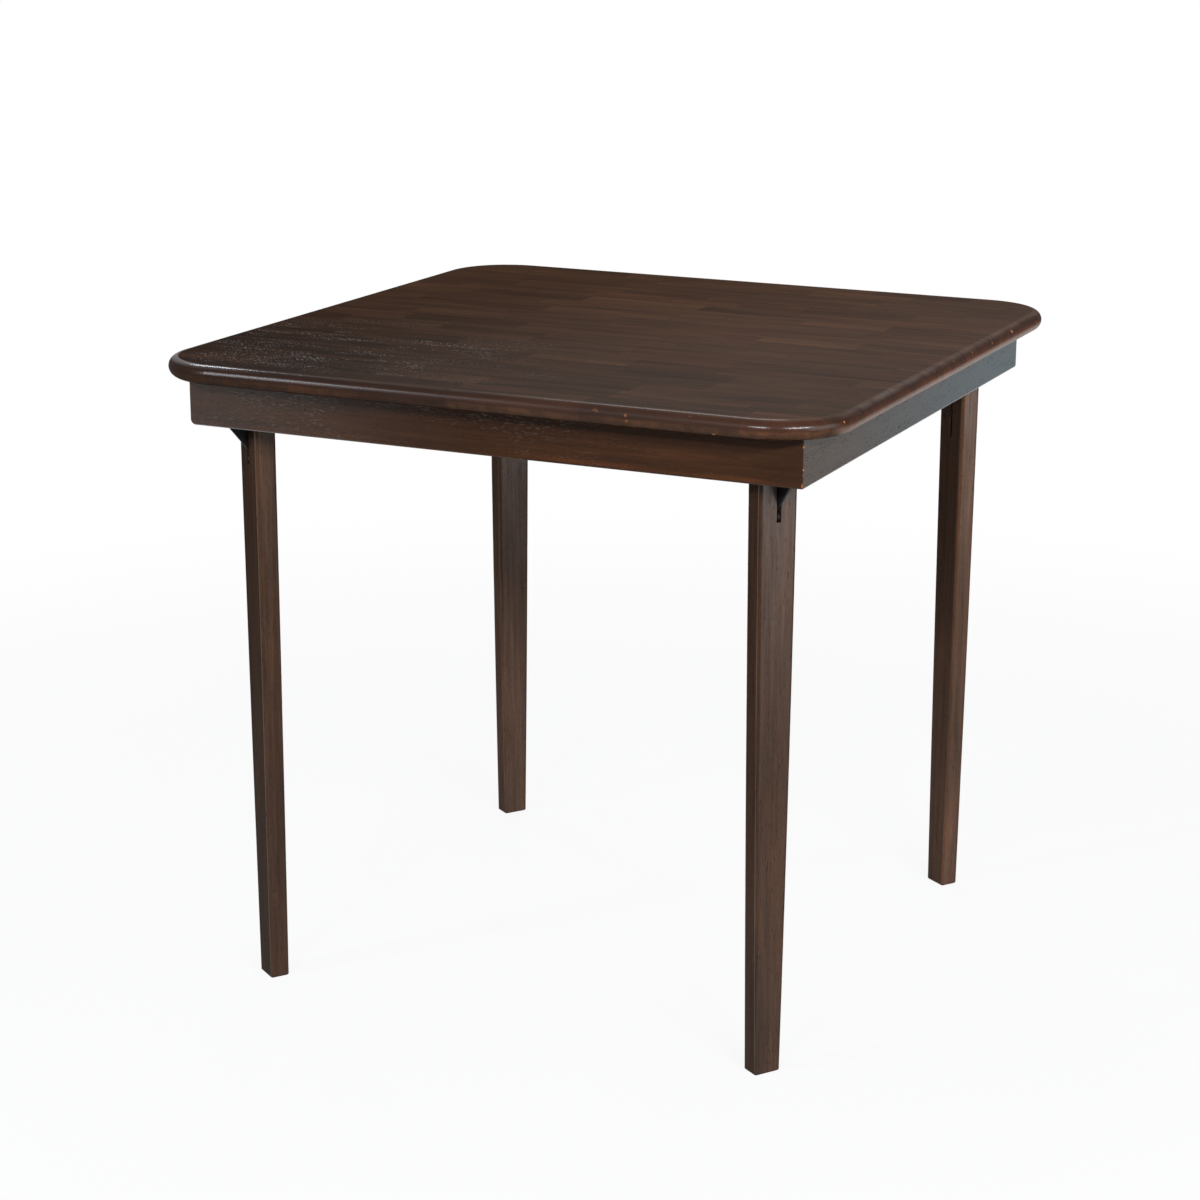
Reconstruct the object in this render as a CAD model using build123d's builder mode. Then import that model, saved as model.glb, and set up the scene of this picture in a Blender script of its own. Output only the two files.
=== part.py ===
from build123d import *
import math
import os

os.makedirs("parts", exist_ok=True)

# Folding card table. Origin under the centre of the top, on the floor.
# +X runs along the front edge to the right, +Y to the back, +Z up. Millimetres.

# Top board
TOP_SIDE = 812.8
TOP_THICK = 22.0
TOP_CORNER_R = 85.0
BULLNOSE_R = 10.9
TABLE_HEIGHT = 749.3

# Apron frame under the top
FRAME_SIDE = 733.6
RAIL_THICK = 19.0
RAIL_HEIGHT = 54.0
ARRIS_R = 1.2
RAIL_EDGE_BREAK = 0.8
# rounding of the frame's lower corners, sanded by hand and so unequal
LOW_CORNER_R = {"fl": 6.5, "fr": 1.8, "br": 3.5, "bl": 5.0}

# Blocks that hold the rails to each other and to the top
CORNER_BLOCK_LEG = 14.0
CORNER_BLOCK_HEIGHT = 50.0
GLUE_BLOCK = 20.0
GLUE_BLOCK_LENGTH = 70.0
GLUE_BLOCK_SPACING = 300.0

# Legs: seen from above each one is turned, so that it folds past the centre
LEG_INSET = 313.0
LEG_TURN = -35.0
PIVOT_DROP = 20.4
LEG_HEAD = 17.4
HEAD_THICK, HEAD_WIDTH, HEAD_R = 25.5, 48.5, 5.0
MID_THICK, MID_WIDTH, MID_R = 24.4, 42.8, 4.0
FOOT_THICK, FOOT_WIDTH, FOOT_R = 23.2, 32.5, 3.0
FOOT_BREAK = 1.2

# Saw kerf in the head of each leg, deeper on the inner face than on the outer
KERF_WIDTH = 5.6
KERF_OUTER_Z = -80.4
KERF_INNER_Z = -114.9
KERF_SAG = 2.3

# Steel bracket: a web that stands in the kerf, under a flange screwed to the top
PLATE = 2.3
FLANGE_THICK = 2.5
FLANGE_X = (-42.0, 30.0)
FLANGE_WIDTH = 28.0
WEB_INNER_X = -12.2
WEB_OUTER_X = 37.5
WEB_SLOPE = 1.25
WEB_FACE_Z = -66.5
WEB_SWEEP_R = 70.5
BRACKET_SCREW_X = (-33.0, 22.0)
BRACKET_SCREW_Y = 8.0

# Pivot pin and its washers
PIVOT_R = 3.0
PIVOT_LENGTH = 44.0
RUNNING_FIT = 0.06
DRIVE_FIT = 0.02
WASHER_R = 6.0
WASHER_THICK = 1.5

# Latch lever: its nose stands in a notch of the web and its tab shows inside
LATCH_X, LATCH_Z = 8.0, -77.8
LATCH_PIN_R = 1.6
LATCH_PIN_LENGTH = 40.0
LATCH_EYE_R = 4.2
LATCH_PIN_GAP = 0.2
PLUG_R = 2.4
TOOTH_TIP_X = -9.3
TOOTH_LEAN = 36.0
NOTCH_DEPTH = 2.7

# Latch spring
WIRE_R = 0.35
COIL_R = 2.3
COIL_PITCH = 0.74
COIL_TURNS = 0.75
LEVER_TAIL = 9.0
KERF_TAIL = 12.0

# Wood screws
SHANK_R = 1.75
SCREW_HEAD_R = 3.6
SCREW_HEAD_THICK = 2.2
SCREW_BITE = 14.0
BLOCK_SCREW_BITE = 12.0
COUNTERBORE = 6.0

TOP_UNDERSIDE = TABLE_HEIGHT - TOP_THICK
RAIL_BOTTOM = TOP_UNDERSIDE - RAIL_HEIGHT
PIVOT_Z = TOP_UNDERSIDE - PIVOT_DROP
FLANGE_UNDERSIDE = PIVOT_DROP - FLANGE_THICK
RAIL_INSIDE = FRAME_SIDE / 2 - RAIL_THICK

# Quarter turns from the front right corner, and from the front rail
CORNERS = {"fr": 0, "br": 1, "bl": 2, "fl": 3}
RAILS = {"front": ("fl", "fr"), "right": ("fr", "br"), "back": ("br", "bl"), "left": ("bl", "fl")}


def quarter_turn(count):
    return Location((0, 0, 0), (0, 0, 90 * count))


def leg_place(corner):
    """The pivot of one leg: X outwards across the leg, Y along its pin."""
    turned = Location((LEG_INSET, -LEG_INSET, PIVOT_Z), (0, 0, LEG_TURN))
    return quarter_turn(CORNERS[corner]) * turned


def save(part, label):
    part.label = label
    export_step(part, f"parts/{label}.step")


def save_at(piece, place, label):
    with BuildPart() as placed:
        with Locations(place):
            add(piece)
    save(placed.part, label)


# Screw, upright, with the underside of its head at the origin and its tip up
def wood_screw(length):
    with BuildPart() as screw:
        with BuildSketch(Plane.XZ):
            with BuildLine():
                Polyline(
                    (0, -SCREW_HEAD_THICK),
                    (SCREW_HEAD_R * 0.6, -SCREW_HEAD_THICK),
                    (SCREW_HEAD_R, -SCREW_HEAD_THICK * 0.4),
                    (SCREW_HEAD_R, 0),
                    (SHANK_R, 0),
                    (SHANK_R, length - SHANK_R * 2),
                    (0, length),
                    close=True,
                )
            make_face()
        revolve(axis=Axis.Z)
        with BuildSketch(Plane.XY.offset(-SCREW_HEAD_THICK)):
            Rectangle(SCREW_HEAD_R * 1.1, 0.8)
            Rectangle(0.8, SCREW_HEAD_R * 1.1)
        extrude(amount=1.0, mode=Mode.SUBTRACT)
    return screw.part


# Saw kerf, as the region it removes in the plane of the swing
def kerf_profile():
    half = HEAD_THICK / 2
    reach = 6.0
    slope = (KERF_OUTER_Z - KERF_INNER_Z) / HEAD_THICK
    outer = (half + reach, KERF_OUTER_Z + slope * reach)
    inner = (-half - reach, KERF_INNER_Z - slope * reach)
    chord = math.hypot(1, slope)
    middle = (
        KERF_SAG * slope / chord,
        (KERF_OUTER_Z + KERF_INNER_Z) / 2 - KERF_SAG / chord,
    )
    with BuildSketch(Plane.XZ) as profile:
        with BuildLine():
            ThreePointArc(outer, middle, inner)
            Polyline(inner, (inner[0], LEG_HEAD + reach), (outer[0], LEG_HEAD + reach), outer)
        make_face()
    return profile.sketch


# Leg before its head is worked, with its pivot at the origin
def leg_blank():
    foot = -PIVOT_Z
    middle = (LEG_HEAD + foot) / 2
    with BuildPart() as blank:
        with BuildSketch(Plane.XY.offset(LEG_HEAD)):
            RectangleRounded(HEAD_THICK, HEAD_WIDTH, HEAD_R)
        with BuildSketch(Plane.XY.offset(middle)):
            RectangleRounded(MID_THICK, MID_WIDTH, MID_R)
        with BuildSketch(Plane.XY.offset(foot)):
            RectangleRounded(FOOT_THICK, FOOT_WIDTH, FOOT_R)
        loft()
        chamfer(blank.faces().sort_by(Axis.Z)[0].edges(), FOOT_BREAK)
    return blank.part


# Leg, with its head rounded, sawn and bored
def leg():
    with BuildPart() as worked:
        add(leg_blank())
        # the inner half of the head is an arc about the pin, so that it can turn
        with BuildSketch(Plane.XZ):
            with Locations((-HEAD_THICK, LEG_HEAD)):
                Rectangle(2 * HEAD_THICK, 2 * LEG_HEAD)
            Circle(LEG_HEAD, mode=Mode.SUBTRACT)
        extrude(amount=HEAD_WIDTH, both=True, mode=Mode.SUBTRACT)
        extrude(kerf_profile(), amount=KERF_WIDTH / 2, both=True, mode=Mode.SUBTRACT)
        with BuildSketch(Plane.XZ):
            Circle(PIVOT_R + DRIVE_FIT)
        extrude(amount=HEAD_WIDTH, both=True, mode=Mode.SUBTRACT)
        # the latch pin's bore stops short of one face, and a plug closes it at the other
        with BuildSketch(Plane.XZ):
            with Locations((LATCH_X, LATCH_Z)):
                Circle(LATCH_PIN_R + DRIVE_FIT)
        extrude(amount=LATCH_PIN_LENGTH / 2 + LATCH_PIN_GAP, both=True, mode=Mode.SUBTRACT)
        with BuildSketch(Plane.XZ.offset(LATCH_PIN_LENGTH / 2)):
            with Locations((LATCH_X, LATCH_Z)):
                Circle(PLUG_R)
        extrude(amount=HEAD_WIDTH, mode=Mode.SUBTRACT)
    return worked.part


# Wooden plug over the end of the latch pin, flush with the face of the leg
def latch_pin_plug():
    with BuildPart() as plug:
        with BuildSketch(Plane.XZ.offset(LATCH_PIN_LENGTH / 2)):
            with Locations((LATCH_X, LATCH_Z)):
                Circle(PLUG_R)
        extrude(amount=HEAD_WIDTH)
        add(leg_blank(), mode=Mode.INTERSECT)
    return plug.part


# Web of the bracket: sloped outer edge, swept arc below, notch for the latch
def web_profile():
    slope_top = WEB_FACE_Z + WEB_SLOPE * (WEB_OUTER_X - HEAD_THICK / 2)
    # where the sloped edge meets the swept arc
    drop = WEB_FACE_Z - WEB_SLOPE * HEAD_THICK / 2
    a = 1 + WEB_SLOPE**2
    b = 2 * WEB_SLOPE * drop
    c = drop**2 - WEB_SWEEP_R**2
    heel_x = (-b - math.sqrt(b * b - 4 * a * c)) / (2 * a)
    heel = (heel_x, drop + WEB_SLOPE * heel_x)

    def on_arc(x):
        return (x, -math.sqrt(WEB_SWEEP_R**2 - x * x))

    tip = on_arc(TOOTH_TIP_X)
    root = (tip[0] + NOTCH_DEPTH * math.tan(math.radians(TOOTH_LEAN)), tip[1] + NOTCH_DEPTH)
    far_root = (-3.2, root[1])
    far_lip = on_arc(-2.6)
    toe = on_arc(WEB_INNER_X)
    with BuildSketch(Plane.XZ) as profile:
        with BuildLine():
            Polyline(
                toe,
                (WEB_INNER_X, FLANGE_UNDERSIDE),
                (WEB_OUTER_X, FLANGE_UNDERSIDE),
                (WEB_OUTER_X, slope_top),
                heel,
            )
            RadiusArc(heel, far_lip, WEB_SWEEP_R)
            Polyline(far_lip, far_root, root, tip)
            RadiusArc(tip, toe, WEB_SWEEP_R)
        make_face()
        corners = profile.vertices()
        fillet(corners.sort_by_distance((WEB_OUTER_X, 0, slope_top))[0], 4.0)
        fillet(profile.vertices().sort_by_distance((heel[0], 0, heel[1]))[0], 1.5)
        Circle(PIVOT_R + RUNNING_FIT, mode=Mode.SUBTRACT)
    return profile.sketch


# Bracket, with the pivot at the origin
def bracket():
    flange_length = FLANGE_X[1] - FLANGE_X[0]
    flange_middle = (FLANGE_X[0] + FLANGE_X[1]) / 2
    with BuildPart() as plate:
        with BuildSketch(Plane.XY.offset(FLANGE_UNDERSIDE)):
            with Locations((flange_middle, 0)):
                RectangleRounded(flange_length, FLANGE_WIDTH, 5.0)
            for x in BRACKET_SCREW_X:
                for y in (-BRACKET_SCREW_Y, BRACKET_SCREW_Y):
                    with Locations((x, y)):
                        Circle(SHANK_R + 0.2, mode=Mode.SUBTRACT)
        extrude(amount=FLANGE_THICK)
        extrude(web_profile(), amount=PLATE / 2, both=True)
    return plate.part


# Screws of one bracket
def bracket_screws():
    screw = wood_screw(FLANGE_THICK + SCREW_BITE)
    with BuildPart() as screws:
        for x in BRACKET_SCREW_X:
            for y in (-BRACKET_SCREW_Y, BRACKET_SCREW_Y):
                with Locations((x, y, FLANGE_UNDERSIDE)):
                    add(screw)
    return screws.part


# Straight pin along Y with broken ends
def cross_pin(radius, length, x, z):
    with BuildPart() as pin:
        with BuildSketch(Plane.XZ):
            with Locations((x, z)):
                Circle(radius)
        extrude(amount=length / 2, both=True)
        chamfer(pin.edges().filter_by(GeomType.CIRCLE), 0.3)
    return pin.part


# Washers on both sides of the web
def pivot_washers():
    gap = (KERF_WIDTH - PLATE) / 2 - WASHER_THICK
    near = PLATE / 2 + gap / 3
    with BuildPart() as washers:
        for side in (-1, 1):
            with BuildSketch(Plane.XZ.offset(side * (near + WASHER_THICK / 2))):
                Circle(WASHER_R)
                Circle(PIVOT_R + RUNNING_FIT, mode=Mode.SUBTRACT)
            extrude(amount=WASHER_THICK / 2, both=True)
    return washers.part


# Latch lever: nose, arm, eye and thumb tab, cut from one plate
def latch_lever():
    with BuildPart() as lever:
        with BuildSketch(Plane.XZ) as outline:
            with BuildLine():
                Polyline(
                    (-9.9, -71.4),
                    (-7.5, -67.9),
                    (-4.3, -67.9),
                    (-3.5, -71.4),
                    (LATCH_X, LATCH_Z + LATCH_EYE_R),
                    (LATCH_X, LATCH_Z - LATCH_EYE_R),
                    (-2.6, -79.6),
                    (-6.0, -84.0),
                    (-7.2, -88.6),
                    (-16.6, -87.8),
                    (-18.2, -86.2),
                    (-18.2, -84.6),
                    (-16.8, -83.8),
                    (-12.4, -84.4),
                    (-11.2, -80.0),
                    close=True,
                )
            make_face()
            fillet(outline.vertices().filter_by_position(Axis.X, -19, -12), 0.6)
            with Locations((LATCH_X, LATCH_Z)):
                Circle(LATCH_EYE_R)
                Circle(LATCH_PIN_R + RUNNING_FIT, mode=Mode.SUBTRACT)
        extrude(amount=PLATE / 2, both=True)
    return lever.part


# Torsion spring on the latch pin, beside the lever: one tail runs along the
# lever to its tab, the other stands down to the floor of the kerf
def latch_spring():
    lever_side = PLATE / 2 + 0.1 + WIRE_R
    with BuildPart() as spring:
        with BuildLine() as wire:
            coil = Helix(
                pitch=COIL_PITCH,
                height=COIL_PITCH * COIL_TURNS,
                radius=COIL_R,
                center=(LATCH_X, -lever_side, LATCH_Z),
                direction=(0, -1, 0),
            )
            start_way = (coil % 0).project_to_plane(Plane.XZ).normalized()
            end_way = (coil % 1).project_to_plane(Plane.XZ).normalized()
            Line(coil @ 0 - start_way * LEVER_TAIL, coil @ 0)
            Line(coil @ 1, coil @ 1 + end_way * KERF_TAIL)
        with BuildSketch(Plane(origin=wire.line @ 0, z_dir=wire.line % 0)):
            Circle(WIRE_R)
        sweep()
    return spring.part


# Top board: one glued-up board with a full bullnose all round
with BuildPart() as top:
    with BuildSketch(Plane.XY.offset(TOP_UNDERSIDE)):
        RectangleRounded(TOP_SIDE, TOP_SIDE, TOP_CORNER_R)
    extrude(amount=TOP_THICK)
    rim_edges = top.faces().filter_by(Axis.Z).edges()
    fillet(rim_edges, BULLNOSE_R)
    # pilot holes of the bracket screws
    for corner in CORNERS:
        for x in BRACKET_SCREW_X:
            for y in (-BRACKET_SCREW_Y, BRACKET_SCREW_Y):
                with Locations(leg_place(corner) * Location((x, y, PIVOT_DROP))):
                    Cylinder(SHANK_R, SCREW_BITE * 2, mode=Mode.SUBTRACT)
    # pilot holes of the glue block screws
    for turn in range(4):
        for side in (-0.5, 0.5):
            spot = (side * GLUE_BLOCK_SPACING, -RAIL_INSIDE + GLUE_BLOCK / 2, TOP_UNDERSIDE)
            with Locations(quarter_turn(turn) * Location(spot)):
                Cylinder(SHANK_R, BLOCK_SCREW_BITE * 2, mode=Mode.SUBTRACT)
save(top.part, "top_board")

# Apron rails, mitred at their ends
for turn, (side, ends) in enumerate(RAILS.items()):
    with BuildPart() as rail:
        with BuildSketch(Plane.XZ.offset(RAIL_INSIDE)) as face:
            with Locations((0, RAIL_BOTTOM + RAIL_HEIGHT / 2)):
                Rectangle(FRAME_SIDE, RAIL_HEIGHT)
            low = face.vertices().group_by(Axis.Y)[0].sort_by(Axis.X)
            fillet(low[0], LOW_CORNER_R[ends[0]])
            low = face.vertices().group_by(Axis.Y)[0].sort_by(Axis.X)
            fillet(low[-1], LOW_CORNER_R[ends[1]])
        extrude(amount=RAIL_THICK)
        long_edges = rail.edges().filter_by(Axis.X).group_by(Axis.Z)[0]
        chamfer(long_edges, RAIL_EDGE_BREAK)
        with BuildSketch(Plane.XY.offset(RAIL_BOTTOM)):
            RectangleRounded(FRAME_SIDE, FRAME_SIDE, ARRIS_R)
            Polygon(
                (0, 0),
                (-FRAME_SIDE, -FRAME_SIDE),
                (FRAME_SIDE, -FRAME_SIDE),
                align=None,
                mode=Mode.INTERSECT,
            )
        extrude(amount=RAIL_HEIGHT, mode=Mode.INTERSECT)
    save_at(rail.part, quarter_turn(turn), f"apron_rail_{side}")

# Triangular blocks glued into the corners of the frame
with BuildPart() as corner_block:
    with BuildSketch(Plane.XY.offset(TOP_UNDERSIDE - CORNER_BLOCK_HEIGHT)):
        Polygon(
            (RAIL_INSIDE, -RAIL_INSIDE),
            (RAIL_INSIDE, -RAIL_INSIDE + CORNER_BLOCK_LEG),
            (RAIL_INSIDE - CORNER_BLOCK_LEG, -RAIL_INSIDE),
            align=None,
        )
    extrude(amount=CORNER_BLOCK_HEIGHT)
for corner, turn in CORNERS.items():
    save_at(corner_block.part, quarter_turn(turn), f"corner_block_{corner}")

# Glue blocks along the rails, two to a rail, each with a screw into the top
with BuildPart() as glue_blocks:
    for side in (-0.5, 0.5):
        with BuildSketch(Plane.XY.offset(TOP_UNDERSIDE - GLUE_BLOCK)):
            with Locations((side * GLUE_BLOCK_SPACING, -RAIL_INSIDE + GLUE_BLOCK / 2)):
                Rectangle(GLUE_BLOCK_LENGTH, GLUE_BLOCK)
        extrude(amount=GLUE_BLOCK)
    chamfer(glue_blocks.edges().filter_by(Axis.X).group_by(Axis.Z)[0].sort_by(Axis.Y)[-2:], 3.0)
    for side in (-0.5, 0.5):
        spot = (
            side * GLUE_BLOCK_SPACING,
            -RAIL_INSIDE + GLUE_BLOCK / 2,
            TOP_UNDERSIDE - GLUE_BLOCK,
        )
        with Locations(Location(spot, (180, 0, 0))):
            CounterBoreHole(SHANK_R + 0.2, SCREW_HEAD_R + 0.6, COUNTERBORE, GLUE_BLOCK)

block_screw = wood_screw(GLUE_BLOCK - COUNTERBORE + BLOCK_SCREW_BITE)
with BuildPart() as glue_block_screws:
    for side in (-0.5, 0.5):
        spot = (
            side * GLUE_BLOCK_SPACING,
            -RAIL_INSIDE + GLUE_BLOCK / 2,
            TOP_UNDERSIDE - GLUE_BLOCK + COUNTERBORE,
        )
        with Locations(spot):
            add(block_screw)
for turn, side in enumerate(RAILS):
    save_at(glue_blocks.part, quarter_turn(turn), f"glue_blocks_{side}")
    save_at(glue_block_screws.part, quarter_turn(turn), f"glue_block_screws_{side}")

# The pieces of one leg, four times round
leg_set = {
    "leg": leg(),
    "bracket": bracket(),
    "bracket_screws": bracket_screws(),
    "pivot_pin": cross_pin(PIVOT_R, PIVOT_LENGTH, 0, 0),
    "pivot_washers": pivot_washers(),
    "latch_lever": latch_lever(),
    "latch_pin": cross_pin(LATCH_PIN_R, LATCH_PIN_LENGTH, LATCH_X, LATCH_Z),
    "latch_pin_plug": latch_pin_plug(),
    "latch_spring": latch_spring(),
}
for corner in CORNERS:
    for piece_name, piece in leg_set.items():
        save_at(piece, leg_place(corner), f"{piece_name}_{corner}")
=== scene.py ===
import math

import bpy
from mathutils import Matrix, Vector


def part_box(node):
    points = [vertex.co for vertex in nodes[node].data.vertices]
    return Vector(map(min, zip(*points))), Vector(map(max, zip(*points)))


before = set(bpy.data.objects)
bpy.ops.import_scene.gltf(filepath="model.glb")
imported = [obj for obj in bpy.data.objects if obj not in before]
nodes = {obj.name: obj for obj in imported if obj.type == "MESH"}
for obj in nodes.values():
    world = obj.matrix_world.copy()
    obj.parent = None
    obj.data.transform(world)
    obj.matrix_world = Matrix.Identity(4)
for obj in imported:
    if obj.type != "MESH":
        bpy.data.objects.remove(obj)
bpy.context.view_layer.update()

CORNERS = {"fr": 0, "br": 1, "bl": 2, "fl": 3}
SIDES = ("front", "right", "back", "left")

# Sizes of the table, in metres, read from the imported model
top_low, top_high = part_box("top_board")
TOP_HALF = top_high[0]
TOP_Z = top_high[2]
RIM = (TOP_Z - top_low[2]) / 2
RAIL_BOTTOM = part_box("apron_rail_front")[0][2]
FRAME_HALF = -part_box("apron_rail_front")[0][1]
TOP_CORNER_R = 0.085
STAVE_WIDTH = 0.0406
FIRST_STAVE = -10 * STAVE_WIDTH - 0.0005
BLOCK_LENGTH = 0.155
GLUE_LINE = 0.0007
BUTT_LINE = 0.0006
LEG_TURN = math.radians(-35.0)
LAMP_TARGET = Vector((0.0, 0.0, 0.6))


# Camera: the photograph's own viewpoint, solved from the table's edges and feet
def make_camera():
    place = Vector((1.33459, -2.91411, 1.31988))
    azimuth, elevation, roll = (math.radians(a) for a in (25.12, 15.68, 0.11))
    focal_pixels, image_pixels = 2758.24, 1200.0
    back = Vector(
        (
            math.sin(azimuth) * math.cos(elevation),
            -math.cos(azimuth) * math.cos(elevation),
            math.sin(elevation),
        )
    )
    level_right = Vector((math.cos(azimuth), math.sin(azimuth), 0.0))
    level_up = back.cross(level_right)
    right = math.cos(roll) * level_right + math.sin(roll) * level_up
    up = -math.sin(roll) * level_right + math.cos(roll) * level_up
    data = bpy.data.cameras.new("camera")
    data.sensor_width = 36.0
    data.lens = focal_pixels / image_pixels * data.sensor_width
    camera = bpy.data.objects.new("camera", data)
    bpy.context.scene.collection.objects.link(camera)
    turned = Matrix((right, up, back)).transposed().to_4x4()
    camera.matrix_world = Matrix.Translation(place) @ turned
    bpy.context.scene.camera = camera


# A short way to write a material's nodes
class Graph:
    def __init__(self, tree):
        self.tree = tree
        self.tree.nodes.clear()

    def feed(self, socket, value):
        if isinstance(value, bpy.types.NodeSocket):
            self.tree.links.new(value, socket)
        else:
            socket.default_value = value

    def add(self, kind, inputs=None, **settings):
        node = self.tree.nodes.new("ShaderNode" + kind)
        for key, value in settings.items():
            setattr(node, key, value)
        for key, value in (inputs or {}).items():
            self.feed(node.inputs[key], value)
        return node

    def math(self, operation, a, b=0.0, clamp=False):
        node = self.add("Math", {0: a, 1: b}, operation=operation, use_clamp=clamp)
        return node.outputs[0]

    def product(self, *factors):
        result = factors[0]
        for factor in factors[1:]:
            result = self.math("MULTIPLY", result, factor)
        return result

    def total(self, *terms, clamp=False):
        result = terms[0]
        for term in terms[1:]:
            result = self.math("ADD", result, term, clamp=clamp)
        return result

    def centred(self, value, size):
        """A 0 to 1 value turned into one around zero, times size."""
        return self.product(self.math("SUBTRACT", value, 0.5), size)

    def vector(self, operation, a, b=(0.0, 0.0, 0.0)):
        node = self.add("VectorMath", {0: a, 1: b}, operation=operation)
        return node.outputs["Value" if operation in ("LENGTH", "DOT_PRODUCT") else "Vector"]

    def split(self, vector):
        return self.add("SeparateXYZ", {0: vector}).outputs

    def join(self, x, y, z=0.0):
        return self.add("CombineXYZ", {0: x, 1: y, 2: z}).outputs[0]

    def noise(self, vector, scale=1.0, detail=2.0, roughness=0.5):
        inputs = {"Vector": vector, "Scale": scale, "Detail": detail, "Roughness": roughness}
        return self.add("TexNoise", inputs).outputs["Fac"]

    def ease(self, value, low, high, to_low=0.0, to_high=1.0):
        """Smooth step from to_low at low to to_high at high."""
        inputs = {"Value": value, "From Min": low, "From Max": high}
        inputs.update({"To Min": to_low, "To Max": to_high})
        return self.add("MapRange", inputs, interpolation_type="SMOOTHSTEP").outputs[0]

    def mix(self, factor, a, b):
        node = self.add("Mix", data_type="RGBA")
        for socket, value in ((0, factor), (6, a), (7, b)):
            if isinstance(value, tuple) and len(value) == 3:
                value = (*value, 1.0)
            self.feed(node.inputs[socket], value)
        return node.outputs[2]

    def scaled(self, colour, strength):
        node = self.add("VectorMath", {0: colour}, operation="SCALE")
        self.feed(node.inputs["Scale"], strength)
        return node.outputs[0]

    def ramp(self, value, stops):
        node = self.add("ValToRGB", {0: value})
        elements = node.color_ramp.elements
        while len(elements) < len(stops):
            elements.new(0.5)
        for element, (position, colour) in zip(elements, stops):
            element.position = position
            element.color = (*colour, 1.0)
        return node.outputs["Color"]


def new_material(name):
    material = bpy.data.materials.new(name)
    material.use_nodes = True
    return material, Graph(material.node_tree)


def finish_material(graph, inputs, height=None, bump=0.2, depth=0.001):
    if height is not None:
        given = {"Height": height, "Strength": bump, "Distance": depth}
        inputs = dict(inputs, Normal=graph.add("Bump", given).outputs["Normal"])
    shader = graph.add("BsdfPrincipled", inputs)
    output = graph.add("OutputMaterial")
    graph.tree.links.new(shader.outputs[0], output.inputs["Surface"])


def object_place(graph):
    return graph.add("TexCoord").outputs["Object"]


# Stain of the whole table, from the closed dark grain to the open warm grain
STAIN = (
    (0.15, (0.015, 0.0080, 0.0050)),
    (0.40, (0.034, 0.0168, 0.0095)),
    (0.60, (0.053, 0.0255, 0.0140)),
    (0.85, (0.095, 0.0430, 0.0215)),
)
# Bare wood that shows where the finish is rubbed through on an edge
RUBBED = (0.32, 0.120, 0.040)
DARK_PORE = (0.010, 0.006, 0.005)
# Brightness of each leg's stain, partly its own wood and partly painted light and shade set to
# how brightly that leg is lit, and painted shade on its left face beside it
LEG_STAIN_AND_LIGHT = {"fr": 0.74, "br": 1.25, "bl": 1.10, "fl": 0.86}
LEG_PAINTED_LEFT_SHADE = {"fr": 0.92, "br": 0.72, "bl": 0.82, "fl": 0.60}
# and its varnish, on the right face and along the arris between the two
LEG_COAT = {"fr": 1.0, "br": 1.05, "bl": 1.15, "fl": 0.30}
LEG_ARRIS_COAT = {"fr": 0.34, "br": 0.08, "bl": 0.20, "fl": 0.34}
# The glue blocks were hardly stained
BLOCK_LIFT = (4.0, 4.6, 5.2)
# Varnish, and how deep the open grain is, in metres
COAT_IOR = 2.0
GRAIN_DEPTH = 0.0003


def drawn_out(graph, place, along, seed, length, width):
    """Place scaled so that a pattern is length long and width wide, along one axis."""
    scale = [1.0 / width] * 3
    scale[along] = 1.0 / length
    offset = (seed * 3.7, seed * 1.3, seed * 2.9)
    return graph.vector("ADD", graph.vector("MULTIPLY", place, tuple(scale)), offset)


def grain(graph, place, along, seed=0.0, streak=0.0050, pore=(0.0075, 0.0008), contrast=1.0):
    """Tone, pores and fibres of wood whose grain runs along one axis.

    The pattern is solid: a cut across the grain shows short dots instead of streaks.
    """
    clouds = graph.noise(drawn_out(graph, place, along, seed, 0.30, 0.040), detail=3.0)
    streak_place = drawn_out(graph, place, along, seed, 0.15, streak)
    streaks = graph.noise(streak_place, detail=4.0, roughness=0.62)
    fibres = graph.noise(drawn_out(graph, place, along, seed, 0.030, 0.0012))
    pore_field = graph.noise(drawn_out(graph, place, along, seed, *pore), detail=0.0)
    pore_zone = graph.noise(drawn_out(graph, place, along, seed, 0.070, 0.012), detail=1.0)
    pores = graph.ease(graph.total(pore_field, graph.centred(pore_zone, 0.35)), 0.68, 0.76)
    tone = graph.total(
        0.5,
        graph.centred(clouds, 0.50 * contrast),
        graph.centred(streaks, 0.62 * contrast),
        graph.centred(fibres, 0.30 * contrast),
    )
    return tone, pores, fibres


def staves(graph, place):
    """Random tone of each short block of the glued-up top, and its glue lines."""
    x, y, _ = graph.split(place)
    rows = graph.math("DIVIDE", graph.math("SUBTRACT", y, FIRST_STAVE), STAVE_WIDTH)
    row = graph.math("FLOOR", rows)
    # each row starts its blocks at a place of its own
    shift = graph.product(graph.math("SINE", graph.product(row, 12.9898)), 43.758)
    length_place = graph.total(graph.math("DIVIDE", x, BLOCK_LENGTH), shift)
    block = graph.add("TexVoronoi", {"W": length_place, "Scale": 1.0}, voronoi_dimensions="1D")
    edge = graph.add(
        "TexVoronoi",
        {"W": length_place, "Scale": 1.0},
        voronoi_dimensions="1D",
        feature="DISTANCE_TO_EDGE",
    )
    chance = graph.split(block.outputs["Color"])
    across = graph.math("ABSOLUTE", graph.math("SUBTRACT", graph.math("FRACT", rows), 0.5))
    row_line = graph.ease(across, 0.5 - GLUE_LINE / STAVE_WIDTH, 0.5)
    butt_line = graph.ease(edge.outputs["Distance"], BUTT_LINE / BLOCK_LENGTH, 0.0)
    return chance, row, row_line, butt_line


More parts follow.
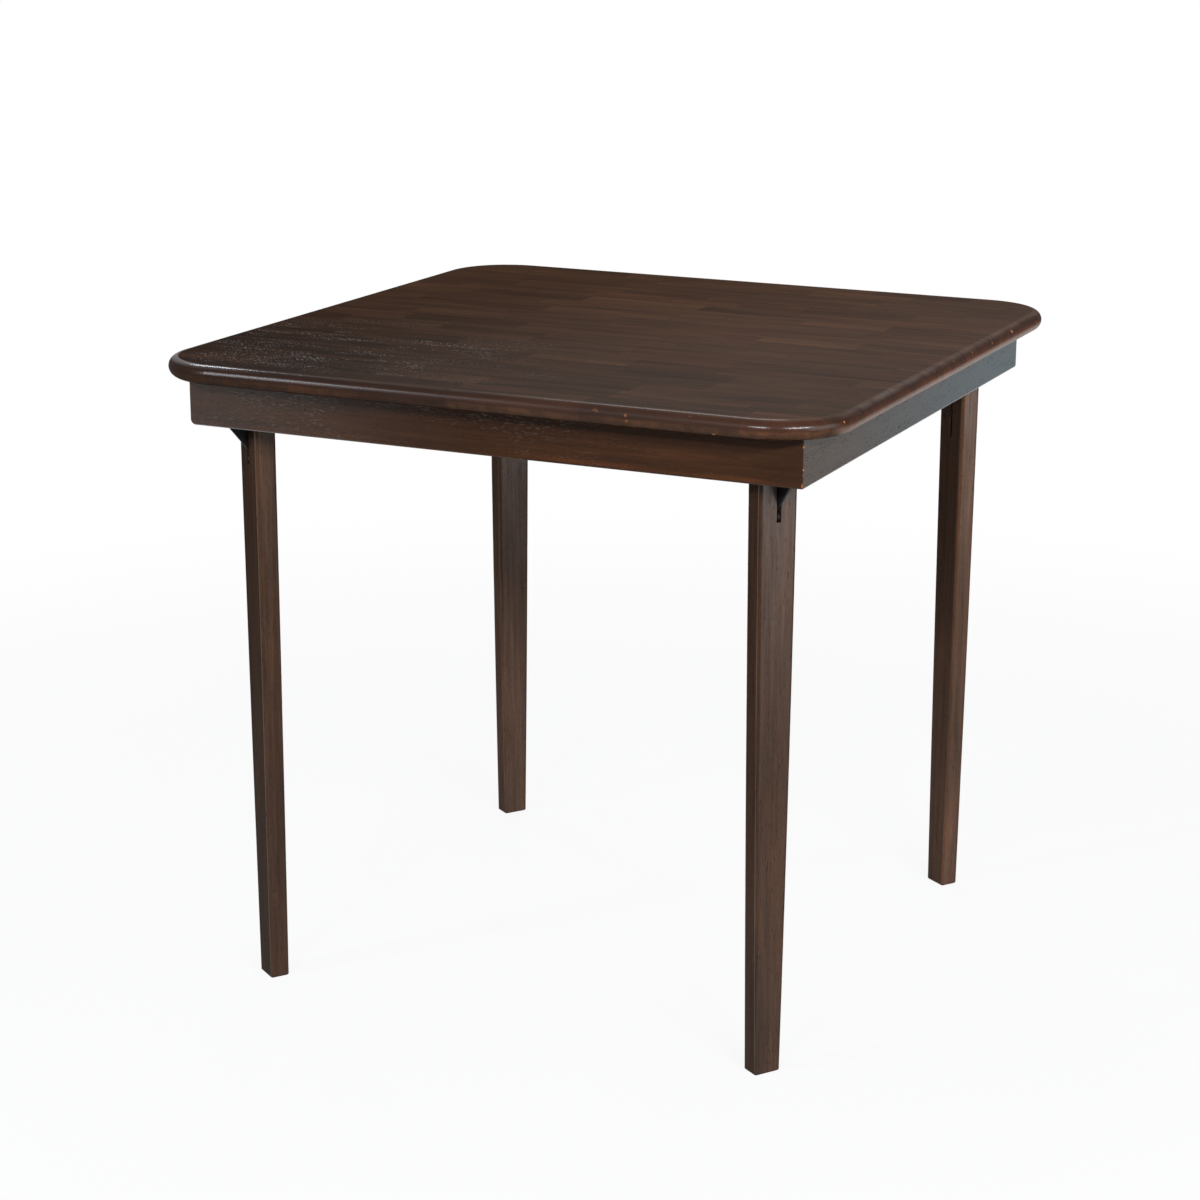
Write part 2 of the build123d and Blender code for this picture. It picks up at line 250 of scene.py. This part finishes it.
def rim_distance(graph, place):
    """Distance in plan from the edge of the top, inwards, in metres."""
    x, y, _ = graph.split(place)
    reach = TOP_HALF - TOP_CORNER_R
    qx = graph.math("SUBTRACT", graph.math("ABSOLUTE", x), reach)
    qy = graph.math("SUBTRACT", graph.math("ABSOLUTE", y), reach)
    outside = graph.vector(
        "LENGTH", graph.join(graph.math("MAXIMUM", qx, 0.0), graph.math("MAXIMUM", qy, 0.0))
    )
    inside = graph.math("MINIMUM", graph.math("MAXIMUM", qx, qy), 0.0)
    return graph.math("SUBTRACT", TOP_CORNER_R, graph.math("ADD", outside, inside))


def open_grain(graph, place, centre, reach, stretch):
    """How far the pores of an area were left open, so that varnish glints in them."""
    away = graph.vector("MULTIPLY", graph.vector("SUBTRACT", place, centre), stretch)
    near = graph.ease(graph.vector("LENGTH", away), reach, reach * 0.25)
    patches = graph.noise(graph.vector("MULTIPLY", place, (7.0, 34.0, 34.0)), detail=2.0)
    return graph.product(near, graph.ease(patches, 0.42, 0.60))


def top_tone_and_shade(g, place, chance, tone):
    """Tone of the blocks, with painted shade at the front left and at the front right corner."""
    tone = g.total(tone, g.centred(chance[0], 0.13))
    from_left = g.vector("LENGTH", g.vector("SUBTRACT", place, (-0.42, -0.42, TOP_Z)))
    from_right = g.vector("LENGTH", g.vector("SUBTRACT", place, (0.42, -0.42, TOP_Z)))
    # painted shade: darker near the front left corner, a little lighter far from it, and darker
    # near the front right corner
    painted_shade_front_left = g.ease(from_left, 0.1, 0.80, -0.27, 0.065)
    painted_shade_front_right = g.ease(from_right, 0.05, 0.55, -0.15, 0.0)
    return g.total(tone, painted_shade_front_left, painted_shade_front_right)


def rim_stain_and_light(g, place, depth, cut_end, colour):
    """Stain of the round, with painted shade above, painted light below and towards the left
    end, and rubbed or torn through in spots.
    """
    x, _, _ = g.split(place)
    mottle = g.noise(place, scale=95.0, detail=3.0, roughness=0.6)
    # painted light and shade: the lower half of the round is lighter and mottled, the upper half
    # darker
    painted_lit_band = g.mix(g.ease(mottle, 0.30, 0.70), (0.84, 0.75, 0.62), (1.26, 1.08, 0.88))
    rim_painted_light_and_shade = g.mix(g.ease(depth, 0.0100, 0.0130), (0.62, 0.42, 0.32), painted_lit_band)
    # painted light: the round is brighter towards the left end
    rim_painted_light_and_shade = g.scaled(rim_painted_light_and_shade, g.ease(x, 0.05, -0.35, 1.0, 1.30))
    # painted light and shade on the cut ends: lighter on their lower part, a little darker at
    # the top
    end_painted_light_and_shade = g.mix(g.ease(depth, 0.0050, 0.0100), (0.85, 0.85, 0.85), (1.60, 1.45, 1.30))
    end_painted_light_and_shade = g.mix(cut_end, (1.0, 1.0, 1.0), end_painted_light_and_shade)
    rim_colour = g.vector("MULTIPLY", g.vector("MULTIPLY", colour, rim_painted_light_and_shade), end_painted_light_and_shade)
    colour = g.mix(g.ease(depth, 0.0006, 0.0026), colour, rim_colour)
    tear = g.noise(g.vector("MULTIPLY", place, (200.0, 420.0, 60.0)), detail=1.0)
    torn = g.product(g.ease(tear, 0.75, 0.80), g.ease(mottle, 0.50, 0.62), cut_end)
    spots = g.ease(g.noise(place, scale=120.0, detail=1.0), 0.735, 0.765)
    spots = g.product(spots, g.ease(x, 0.10, 0.34))
    bare = g.product(g.math("MAXIMUM", spots, torn), g.ease(depth, 0.002, 0.006))
    return g.mix(bare, colour, RUBBED)


def top_coat(g, place, depth, cut_end, inset, pores):
    """Varnish of the top: satin on the flat, and polished along the round."""
    x, y, _ = g.split(place)
    glints = g.product(pores, open_grain(g, place, (-0.27, -0.25, TOP_Z), 0.42, (1.0, 1.7, 1.0)))
    glints = g.product(glints, g.ease(inset, RIM + 0.0010, RIM + 0.0080))
    to_right = g.math("SUBTRACT", x, g.product(y, 0.5))
    flat = g.ease(to_right, -0.50, 0.55, 0.010, 0.076)
    crest = g.ease(depth, 0.0040, 0.0010)
    corner = g.product(crest, g.ease(g.total(x, y), -0.64, -0.72, 0.0, 0.30))
    # the front and back edges are even, the cut ends wavy above and shiny below
    long_side = g.ease(depth, 0.0090, 0.0130, 0.058, 0.030)
    wavy = g.ease(g.noise(place, scale=36.0, detail=1.5), 0.30, 0.66, 0.06, 0.25)
    end_crest = g.product(g.ease(depth, 0.0050, 0.0010), wavy)
    end_crest = g.product(end_crest, g.ease(x, -0.1, 0.1, 0.25, 1.0))
    end_crest = g.product(end_crest, g.ease(y, -0.30, 0.10, 1.0, 0.35))
    end_side = g.total(end_crest, g.ease(depth, 0.0090, 0.0150, 0.02, 0.44))
    side = g.total(
        g.product(g.math("SUBTRACT", 1.0, cut_end), long_side),
        g.product(cut_end, end_side),
    )
    crown = g.product(g.total(side, corner), g.ease(inset, RIM + 0.0010, RIM - 0.0010))
    return g.total(flat, crown, g.product(glints, 0.50), clamp=True)


def top_material():
    material, g = new_material("stained_staves")
    place = object_place(g)
    chance, row, row_line, butt_line = staves(g, place)
    # each block is cut from its own piece of wood
    jump = g.join(g.product(chance[0], 7.0), g.product(row, 0.11), g.product(chance[1], 3.0))
    moved = g.vector("ADD", place, jump)
    tone, pores, fibres = grain(g, moved, 0, streak=0.0095, pore=(0.0024, 0.0016))
    tone = top_tone_and_shade(g, place, chance, tone)
    colour = g.ramp(tone, STAIN)
    redder = g.vector("MULTIPLY", colour, (1.15, 0.93, 0.88))
    colour = g.mix(g.ease(chance[2], 0.70, 0.95, 0.0, 0.35), colour, redder)
    x, _, z = g.split(place)
    depth = g.math("SUBTRACT", TOP_Z, z)
    cut_end = g.ease(g.math("ABSOLUTE", x), TOP_HALF - 0.012, TOP_HALF - 0.004)
    colour = rim_stain_and_light(g, place, depth, cut_end, colour)
    # glue lines and closed pores hold more stain
    lines = g.math("MAXIMUM", g.product(row_line, 0.25), g.product(butt_line, 0.40))
    colour = g.mix(g.math("MAXIMUM", lines, g.product(pores, 0.35)), colour, DARK_PORE)
    inset = rim_distance(g, place)
    # the pores are felt on the flat and closed on the round
    height = g.math("SUBTRACT", g.product(fibres, 0.35), g.total(pores, lines))
    height = g.product(height, g.ease(inset, RIM + 0.0030, RIM + 0.0090))
    finish_material(
        g,
        {
            "Base Color": colour,
            "Roughness": g.ease(tone, 0.2, 0.8, 0.58, 0.46),
            "Specular IOR Level": 0.0,
            "Coat Weight": top_coat(g, place, depth, cut_end, inset, pores),
            "Coat Roughness": 0.22,
            "Coat IOR": COAT_IOR,
        },
        height,
        bump=0.12,
        depth=GRAIN_DEPTH,
    )
    return material


def leg_faces(g):
    """How far the surface of a leg faces the right and the left front of the table."""
    facing = g.add("TexCoord").outputs["Normal"]
    across, along = math.cos(LEG_TURN), math.sin(LEG_TURN)
    to_right = g.vector("DOT_PRODUCT", facing, (across, along, 0.0))
    to_left = g.vector("DOT_PRODUCT", facing, (along, -across, 0.0))
    return to_right, to_left


def leg_polish(g, place, pores, corner):
    """Varnish of a leg: thin on three faces, thicker on its right one and along an arris."""
    to_right, to_left = leg_faces(g)
    _, _, z = g.split(place)
    cloudy = g.noise(g.vector("MULTIPLY", place, (260.0, 260.0, 14.0)), detail=2.0)
    right_face = g.product(
        g.ease(to_right, 0.93, 0.99),
        g.ease(z, 0.30, 0.72, 0.09, 0.42),
        g.ease(cloudy, 0.30, 0.70, 0.75, 1.25),
        LEG_COAT[corner],
    )
    arris = g.product(g.ease(to_left, 0.88, 0.93), g.ease(to_left, 0.990, 0.965))
    arris = g.product(arris, LEG_ARRIS_COAT[corner])
    thin = g.ease(z, 0.60, 0.05, 0.04, 0.10)
    closed = g.math("SUBTRACT", 1.0, g.product(pores, 0.5))
    return g.product(g.total(right_face, arris, thin), closed)


def rail_finish(g, place, along, colour, gloss):
    """Thin varnish on the inner faces of a rail, a shiny outer lower arris, and on the side
    rails a painted sheen towards the back.
    """
    x, y, z = g.split(place)
    out = g.math("MAXIMUM", g.math("ABSOLUTE", x), g.math("ABSOLUTE", y))
    outer = g.ease(out, FRAME_HALF - 0.0040, FRAME_HALF - 0.0015)
    low_edge = g.ease(g.math("SUBTRACT", z, RAIL_BOTTOM), 0.0018, 0.0006, 0.0, 0.70)
    inside_thin = g.ease(outer, 0.0, 1.0, 0.25, 1.0)
    gloss = g.total(g.product(gloss, inside_thin), g.product(outer, low_edge))
    if along == 1:
        # towards the back the outer varnish of the side rails lies thicker, and their colour is
        # mixed towards a blue grey, a painted sheen of the varnish
        gloss = g.product(gloss, g.ease(y, -0.38, 0.34, 0.95, 1.20))
        painted_sheen_to_back = g.product(outer, g.ease(y, -0.38, 0.34, 0.0, 0.85))
        colour = g.mix(painted_sheen_to_back, colour, (0.012, 0.030, 0.038))
    return colour, gloss


def front_rail_finish(g, place, along, seed, colour, gloss):
    """More varnish on the left end, open pores, and a lighter, warmer band along the lower edge.
    """
    x, _, z = g.split(place)
    gloss = g.product(gloss, g.ease(x, -0.36, 0.02, 1.0, 0.20))
    dashes = g.noise(drawn_out(g, place, along, seed + 5.0, 0.0060, 0.0009), detail=1.0)
    patches = g.noise(g.vector("MULTIPLY", place, (9.0, 9.0, 40.0)), detail=2.0)
    open_pores = g.product(g.ease(dashes, 0.60, 0.70), g.ease(patches, 0.40, 0.58))
    open_pores = g.product(open_pores, g.ease(x, -0.10, 0.30, 0.30, 0.08))
    gloss = g.total(gloss, open_pores, clamp=True)
    rise = g.math("SUBTRACT", z, RAIL_BOTTOM)
    band = g.product(g.ease(rise, 0.0015, 0.0030), g.ease(rise, 0.0085, 0.0045))
    warm_low_band = g.product(band, g.ease(x, -0.15, 0.20, 0.25, 1.0), g.ease(patches, 0.35, 0.60))
    colour = g.mix(warm_low_band, colour, g.vector("MULTIPLY", colour, (1.7, 1.42, 1.18)))
    return colour, gloss


def solid_wood(name, along, seed, lift, coat=0.0, contrast=1.0, side=None, leg=None):
    """Stained wood of one board. lift brightens the stain, side or leg tells which it is."""
    material, g = new_material(name)
    place = object_place(g)
    tone, pores, fibres = grain(g, place, along, seed, contrast=contrast)
    colour = g.vector("MULTIPLY", g.ramp(tone, STAIN), lift)
    colour = g.mix(g.product(pores, 0.34), colour, DARK_PORE)
    if leg is None:
        gloss = g.math("SUBTRACT", coat, g.product(pores, 0.45 * coat))
    else:
        gloss = leg_polish(g, place, pores, leg)
        # painted shade: the leg's left face is darkened, as less light falls on it
        _, to_left = leg_faces(g)
        colour = g.scaled(colour, g.ease(to_left, 0.90, 0.99, 1.0, LEG_PAINTED_LEFT_SHADE[leg]))
    if side is not None:
        colour = g.mix(rail_wear(g, place), colour, RUBBED)
        colour, gloss = rail_finish(g, place, along, colour, gloss)
    if side == "front":
        colour, gloss = front_rail_finish(g, place, along, seed, colour, gloss)
    finish_material(
        g,
        {
            "Base Color": colour,
            "Roughness": g.ease(tone, 0.2, 0.8, 0.60, 0.48),
            "Specular IOR Level": 0.0,
            "Coat Weight": gloss,
            "Coat Roughness": 0.30,
            "Coat IOR": COAT_IOR,
        },
        g.math("SUBTRACT", g.product(fibres, 0.35), pores),
        bump=0.20,
        depth=GRAIN_DEPTH,
    )
    return material


def rail_wear(g, place):
    """Rubbed spots on the upright arrises and lower edges of the apron."""
    x, y, z = g.split(place)
    ax, ay = g.math("ABSOLUTE", x), g.math("ABSOLUTE", y)
    near_corner = g.ease(g.math("MINIMUM", ax, ay), FRAME_HALF - 0.0022, FRAME_HALF - 0.0006)
    near_bottom = g.ease(g.math("SUBTRACT", z, RAIL_BOTTOM), 0.0016, 0.0002)
    outer = g.ease(g.math("MAXIMUM", ax, ay), FRAME_HALF - 0.003, FRAME_HALF - 0.001)
    edge = g.math("MAXIMUM", near_corner, g.product(near_bottom, outer, 0.35))
    chips = g.ease(g.noise(place, scale=210.0), 0.56, 0.66)
    return g.product(edge, chips, 0.75)


def metal(name, colour, roughness, metallic, scuff=0.3, specular=0.25):
    material, g = new_material(name)
    place = object_place(g)
    smudge = g.noise(place, scale=160.0, detail=3.0)
    scratches = g.noise(g.vector("MULTIPLY", place, (300.0, 300.0, 4000.0)))
    finish_material(
        g,
        {
            "Base Color": g.scaled(colour, g.ease(smudge, 0.3, 0.7, 1.0 - scuff, 1.0 + scuff)),
            "Metallic": metallic,
            "Specular IOR Level": specular,
            "Roughness": g.ease(scratches, 0.3, 0.7, roughness - 0.07, roughness + 0.09),
        },
        scratches,
        bump=0.08,
        depth=0.0002,
    )
    return material


def give(node_name, material):
    mesh = nodes[node_name].data
    mesh.materials.clear()
    mesh.materials.append(material)


def dress():
    give("top_board", top_material())
    for index, side in enumerate(SIDES):
        along = index % 2
        rail = solid_wood(
            f"stained_rail_{side}",
            along,
            2.0 + index,
            # the side rails' cool lift paints in the grey sheen of their varnish
            (0.45, 0.52, 0.60) if along else (0.53, 0.43, 0.33),
            coat=0.41 if along else 0.29,
            side=side,
        )
        give(f"apron_rail_{side}", rail)
        block = solid_wood(f"glue_block_wood_{side}", along, 8.0 + index, BLOCK_LIFT, coat=0.1)
        give(f"glue_blocks_{side}", block)
    plain = solid_wood("corner_block_wood", 2, 12.0, BLOCK_LIFT, coat=0.1)
    black = metal("black_steel", (0.007, 0.007, 0.008), 0.40, 0.0, specular=0.08)
    zinc = metal("zinc_steel", (0.46, 0.46, 0.45), 0.34, 1.0, scuff=0.12)
    wire = metal("spring_wire", (0.22, 0.21, 0.20), 0.30, 1.0, scuff=0.15)
    for corner, index in CORNERS.items():
        give(f"corner_block_{corner}", plain)
        # painted light and shade: each leg's stain is brightened or darkened to how that leg is
        # lit
        lift = tuple(LEG_STAIN_AND_LIGHT[corner] * part for part in (1.0, 0.98, 0.96))
        name = f"stained_leg_{corner}"
        leg = solid_wood(name, 2, 20.0 + index, lift, contrast=1.2, leg=corner)
        give(f"leg_{corner}", leg)
        give(f"latch_pin_plug_{corner}", leg)
        give(f"bracket_{corner}", black)
        give(f"latch_lever_{corner}", black)
        give(f"latch_spring_{corner}", wire)
        for piece in ("bracket_screws", "pivot_pin", "pivot_washers", "latch_pin"):
            give(f"{piece}_{corner}", zinc)
    for side in SIDES:
        give(f"glue_block_screws_{side}", zinc)


# Floor and world: white where the camera, gloss or glass sees them
def looked_at(graph):
    path = graph.add("LightPath").outputs
    seen = graph.math("ADD", path["Is Camera Ray"], path["Is Glossy Ray"])
    return graph.math("ADD", seen, path["Is Transmission Ray"], clamp=True)


def make_world():
    world = bpy.data.worlds.new("studio")
    world.use_nodes = True
    bpy.context.scene.world = world
    g = Graph(world.node_tree)
    light = g.add("Background", {"Color": (0.93, 0.96, 1.0, 1.0), "Strength": 0.17})
    white = g.add("Background", {"Color": (1.0, 1.0, 1.0, 1.0), "Strength": 1.0})
    mixed = g.add("MixShader", {0: looked_at(g), 1: light.outputs[0], 2: white.outputs[0]})
    output = g.add("OutputWorld")
    g.tree.links.new(mixed.outputs[0], output.inputs["Surface"])


def make_floor():
    half = 14.0
    mesh = bpy.data.meshes.new("floor")
    corners = [(-half, -half, 0.0), (half, -half, 0.0), (half, half, 0.0), (-half, half, 0.0)]
    mesh.from_pydata(corners, [], [(0, 1, 2, 3)])
    floor = bpy.data.objects.new("floor", mesh)
    bpy.context.scene.collection.objects.link(floor)
    material, g = new_material("pale_floor")
    mesh.materials.append(material)
    paper = g.add("BsdfDiffuse", {"Color": (0.50, 0.50, 0.50, 1.0)})
    white = g.add("Emission", {"Color": (1.0, 1.0, 1.0, 1.0), "Strength": 1.0})
    far = g.ease(g.vector("LENGTH", object_place(g)), 0.7, 2.4, 0.90, 1.0)
    mixed = g.add(
        "MixShader",
        {0: g.product(looked_at(g), far), 1: paper.outputs[0], 2: white.outputs[0]},
    )
    output = g.add("OutputMaterial")
    g.tree.links.new(mixed.outputs[0], output.inputs["Surface"])


def softbox(name, azimuth, elevation, distance, size, radiance, colour):
    """A rectangular lamp in that direction from the table, turned to it, of that brightness."""
    data = bpy.data.lights.new(name, "AREA")
    data.shape = "RECTANGLE"
    data.size, data.size_y = size
    data.energy = radiance * math.pi * size[0] * size[1]
    data.color = colour
    lamp = bpy.data.objects.new(name, data)
    a, e = math.radians(azimuth), math.radians(elevation)
    way = Vector((math.sin(a) * math.cos(e), -math.cos(a) * math.cos(e), math.sin(e)))
    lamp.location = LAMP_TARGET + way * distance
    lamp.rotation_euler = way.to_track_quat("Z", "Y").to_euler()
    lamp.visible_camera = False
    bpy.context.scene.collection.objects.link(lamp)


def make_lights():
    cool = (0.94, 0.97, 1.0)
    cooler = (0.88, 0.93, 1.0)
    softbox("front_left_box", -37, 23, 3.7, (0.34, 1.25), 50.0, cooler)
    softbox("front_box", 1, 25, 3.4, (0.90, 0.16), 125.0, cool)
    softbox("front_right_box", 49, 24, 3.5, (1.65, 0.20), 120.0, cool)
    softbox("right_box", 80, 12, 2.8, (2.3, 1.3), 4.0, cool)
    softbox("back_left_box", 237, 40, 3.2, (0.50, 0.26), 40.0, cooler)
    softbox("back_box", 206, 50, 3.0, (0.90, 0.60), 12.0, cool)


make_camera()
dress()
make_world()
make_floor()
make_lights()
bpy.context.scene.view_settings.view_transform = "Standard"
